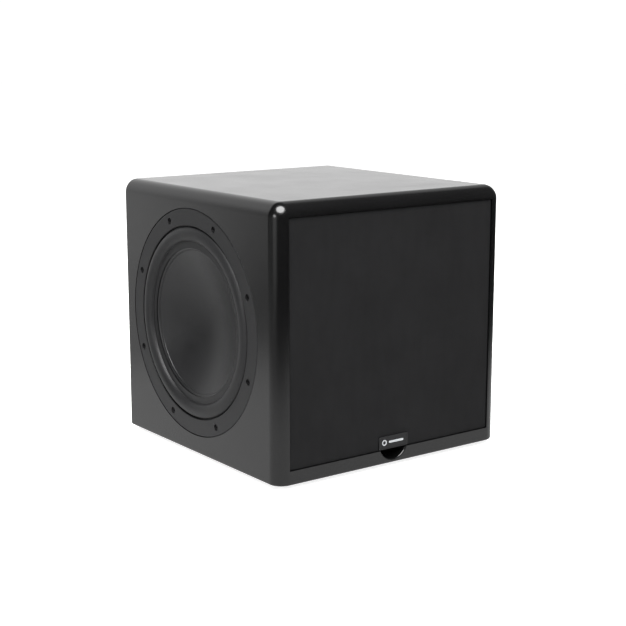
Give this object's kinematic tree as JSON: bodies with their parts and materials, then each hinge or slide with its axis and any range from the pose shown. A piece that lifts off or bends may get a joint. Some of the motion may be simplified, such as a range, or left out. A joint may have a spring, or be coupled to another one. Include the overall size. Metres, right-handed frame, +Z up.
{
  "type": "subwoofer",
  "caption": "Compact cube subwoofer with rounded edges, a cloth grille over a front woofer, a dished passive radiator in each side, rubber feet and a rear amplifier panel.",
  "frame": {"origin": "middle of the footprint, on the surface that the feet stand on", "axes": "+Z up, the grille faces -Y, the amplifier faces +Y, +X to the right as seen from the front"},
  "size_m": [0.3238, 0.331, 0.31],
  "materials": {
    "cabinet_finish": "satin black lacquer over fibreboard",
    "baffle_board": "fibreboard painted matt black",
    "rubber": "matt black moulded rubber",
    "ring_plastic": "fine-grained black moulding",
    "cone_material": "smooth satin black cone",
    "basket_metal": "black powder-coated casting",
    "spider_cloth": "resin-treated cotton",
    "steel": "zinc-plated steel",
    "ferrite": "sintered ferrite",
    "screw_metal": "black oxide",
    "grille_cloth": "fine black knitted cloth",
    "grille_plastic": "black moulding",
    "badge_plastic": "smoked gloss plate",
    "amplifier_metal": "black anodised sheet",
    "control_plastic": "black moulding, fine grain",
    "circuit_board": "green laminate",
    "copper": "enamelled copper winding",
    "gilt": "gold flash",
    "light_lens": "blue lens"
  },
  "bodies": {
    "cabinet": {"top_panel": "cabinet_finish", "left_panel": "cabinet_finish", "right_panel": "cabinet_finish", "bottom_panel": "cabinet_finish", "front_baffle": "baffle_board", "rear_panel": "cabinet_finish", "foot_front_left": "rubber", "foot_front_right": "rubber", "foot_rear_right": "rubber", "foot_rear_left": "rubber", "left_radiator_ring": "ring_plastic", "left_radiator_frame": "basket_metal", "left_radiator_surround": "rubber", "left_radiator_spider": "spider_cloth", "right_radiator_ring": "ring_plastic", "right_radiator_frame": "basket_metal", "right_radiator_surround": "rubber", "right_radiator_spider": "spider_cloth", "left_radiator_screw_1": "screw_metal", "left_radiator_screw_2": "screw_metal", "left_radiator_screw_3": "screw_metal", "left_radiator_screw_4": "screw_metal", "left_radiator_screw_5": "screw_metal", "left_radiator_screw_6": "screw_metal", "left_radiator_screw_7": "screw_metal", "left_radiator_screw_8": "screw_metal", "woofer_basket": "basket_metal", "woofer_surround": "rubber", "woofer_spider": "spider_cloth", "woofer_top_plate": "steel", "woofer_magnet": "ferrite", "woofer_back_plate": "steel", "woofer_terminal": "control_plastic", "amplifier_plate": "amplifier_metal", "amplifier_cover": "steel", "amplifier_board": "circuit_board", "amplifier_transformer": "copper", "amplifier_capacitor": "control_plastic", "amplifier_heat_sink": "amplifier_metal", "input_jack_left": "gilt", "input_jack_right": "gilt", "status_light": "light_lens", "power_inlet": "control_plastic", "speaker_lead": "rubber"},
    "grille": {"grille_frame": "grille_plastic", "grille_cloth": "grille_cloth", "badge": "badge_plastic"},
    "woofer_diaphragm": {"woofer_cone": "cone_material", "woofer_dust_cap": "cone_material", "woofer_voice_coil": "copper"},
    "left_diaphragm": {"left_radiator_cone": "cone_material", "left_radiator_weight": "steel"},
    "right_diaphragm": {"right_radiator_cone": "cone_material", "right_radiator_weight": "steel"},
    "volume_knob": {"volume_knob": "control_plastic"},
    "crossover_knob": {"crossover_knob": "control_plastic"},
    "phase_switch": {"phase_switch": "control_plastic"},
    "mode_switch": {"mode_switch": "control_plastic"},
    "power_rocker": {"power_rocker": "control_plastic"},
    "fuse_drawer": {"fuse_drawer": "control_plastic"}
  },
  "joints": [
    {"name": "grille_pull", "type": "slide", "parent": "cabinet", "child": "grille", "axis": [0, -1, 0], "range_m": [0, 0.045]},
    {"name": "woofer_travel", "type": "slide", "parent": "cabinet", "child": "woofer_diaphragm", "axis": [0, -1, 0], "range_m": [-0.008, 0.008], "stiffness_N_per_m": 2000, "deforming": ["woofer_surround", "woofer_spider"]},
    {"name": "left_radiator_travel", "type": "slide", "parent": "cabinet", "child": "left_diaphragm", "axis": [-1, 0, 0], "range_m": [-0.008, 0.008], "stiffness_N_per_m": 1500, "deforming": ["left_radiator_surround", "left_radiator_spider"]},
    {"name": "right_radiator_travel", "type": "slide", "parent": "cabinet", "child": "right_diaphragm", "axis": [1, 0, 0], "range_m": [-0.008, 0.008], "stiffness_N_per_m": 1500, "deforming": ["right_radiator_surround", "right_radiator_spider"]},
    {"name": "volume_turn", "type": "hinge", "parent": "cabinet", "child": "volume_knob", "pos_m": [-0.052, 0.1515, 0.2495], "axis": [0, 1, 0], "range_deg": [-150, 150]},
    {"name": "crossover_turn", "type": "hinge", "parent": "cabinet", "child": "crossover_knob", "pos_m": [0.052, 0.1515, 0.2495], "axis": [0, 1, 0], "range_deg": [-150, 150]},
    {"name": "phase_slide", "type": "slide", "parent": "cabinet", "child": "phase_switch", "axis": [1, 0, 0], "range_m": [0, 0.004]},
    {"name": "mode_slide", "type": "slide", "parent": "cabinet", "child": "mode_switch", "axis": [1, 0, 0], "range_m": [0, 0.004]},
    {"name": "power_rock", "type": "hinge", "parent": "cabinet", "child": "power_rocker", "pos_m": [-0.052, 0.1475, 0.0735], "axis": [1, 0, 0], "range_deg": [0, 16]},
    {"name": "fuse_drawer_pull", "type": "slide", "parent": "cabinet", "child": "fuse_drawer", "axis": [0, 1, 0], "range_m": [0, 0.018]}
  ],
  "couplings": [
    {"joint": "left_radiator_travel", "follows": "woofer_travel", "ratio": -0.5},
    {"joint": "right_radiator_travel", "follows": "woofer_travel", "ratio": -0.5}
  ]
}
